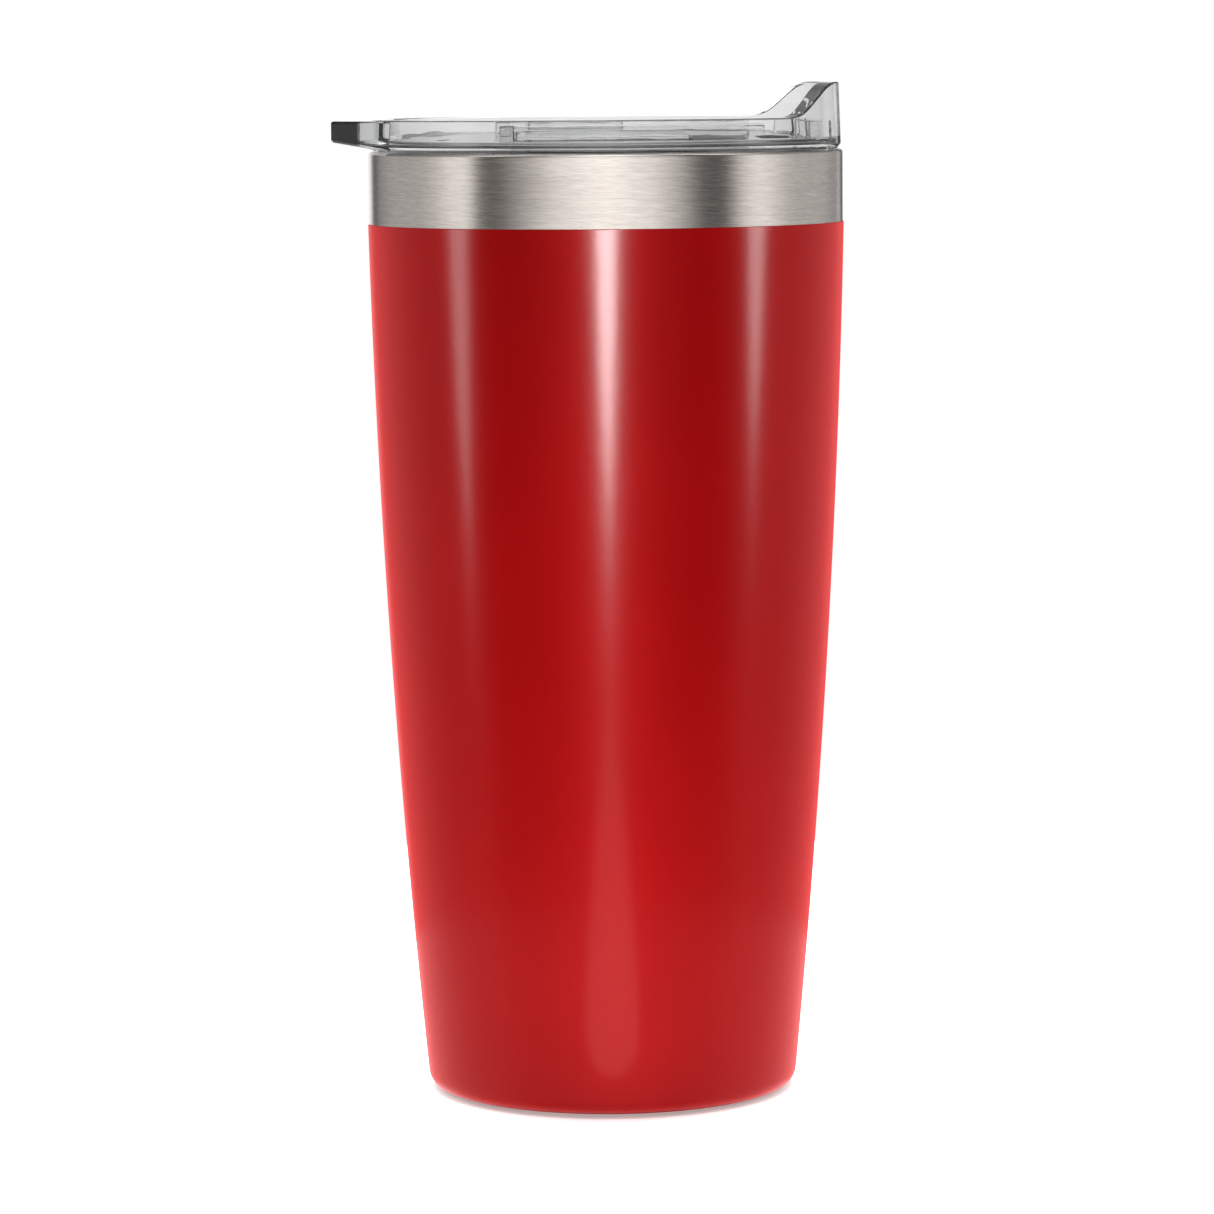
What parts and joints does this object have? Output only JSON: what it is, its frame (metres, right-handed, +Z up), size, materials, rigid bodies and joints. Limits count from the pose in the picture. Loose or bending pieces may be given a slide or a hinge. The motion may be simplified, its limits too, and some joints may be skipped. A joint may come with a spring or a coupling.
{
  "type": "insulated tumbler with lid",
  "caption": "Double-walled vacuum tumbler with a painted tapered body, a bare steel band, and a clear push-in lid with a lifting tab, a raised spout and a slider.",
  "frame": {"origin": "centre of the base, on the plane that the tumbler stands on", "axes": "+Z up along the cup's axis, +X from the lifting tab to the spout"},
  "size_m": [0.0947, 0.088, 0.1873],
  "materials": {
    "brushed_steel": "turned brushed steel, fine rings round the axis",
    "liner_steel": "satin drawn steel",
    "red_coat": "glossy powder coat, a polymer layer baked on to the shell",
    "copper": "bright copper foil",
    "getter": "dull pressed powder",
    "solder_glass": "dark solder glass",
    "clear_plastic": "polished clear moulding",
    "silicone": "translucent silicone"
  },
  "bodies": {
    "cup": {"outer_shell": "brushed_steel", "powder_coat": "red_coat", "inner_liner": "liner_steel", "inner_base": "liner_steel", "copper_wrap": "copper", "copper_disc": "copper", "getter_cup": "liner_steel", "getter_pellet": "getter", "vacuum_base": "liner_steel", "seal_bead": "solder_glass", "base_cap": "brushed_steel"},
    "lid": {"lid_body": "clear_plastic", "lid_gasket": "silicone"},
    "slider": {"slider": "clear_plastic", "slider_seal": "silicone"}
  },
  "joints": [
    {"name": "lid_lift", "type": "slide", "parent": "cup", "child": "lid", "axis": [0, 0, 1], "range_m": [0, 0.05]},
    {"name": "slider_slide", "type": "slide", "parent": "lid", "child": "slider", "axis": [1, 0, 0], "range_m": [0, 0.012]}
  ]
}
